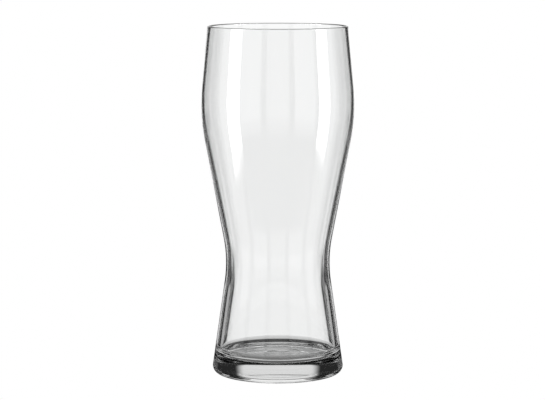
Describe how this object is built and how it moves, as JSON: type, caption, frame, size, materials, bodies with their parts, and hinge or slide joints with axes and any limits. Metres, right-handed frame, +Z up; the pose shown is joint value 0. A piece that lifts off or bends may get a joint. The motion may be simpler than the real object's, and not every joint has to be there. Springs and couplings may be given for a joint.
{
  "type": "pint glass",
  "caption": "Clear beer glass with a wide shouldered bowl, a narrow waist and a heavy flared solid foot, made in one piece.",
  "frame": {"origin": "centre of the ring the glass stands on, at table height", "axes": "+Z up along the glass's axis of revolution, from the foot to the lip"},
  "size_m": [0.0772, 0.0772, 0.176],
  "materials": {
    "clear_glass": "clear polished soda-lime glass"
  },
  "bodies": {
    "root": {"glass_body": "clear_glass"}
  },
  "joints": []
}
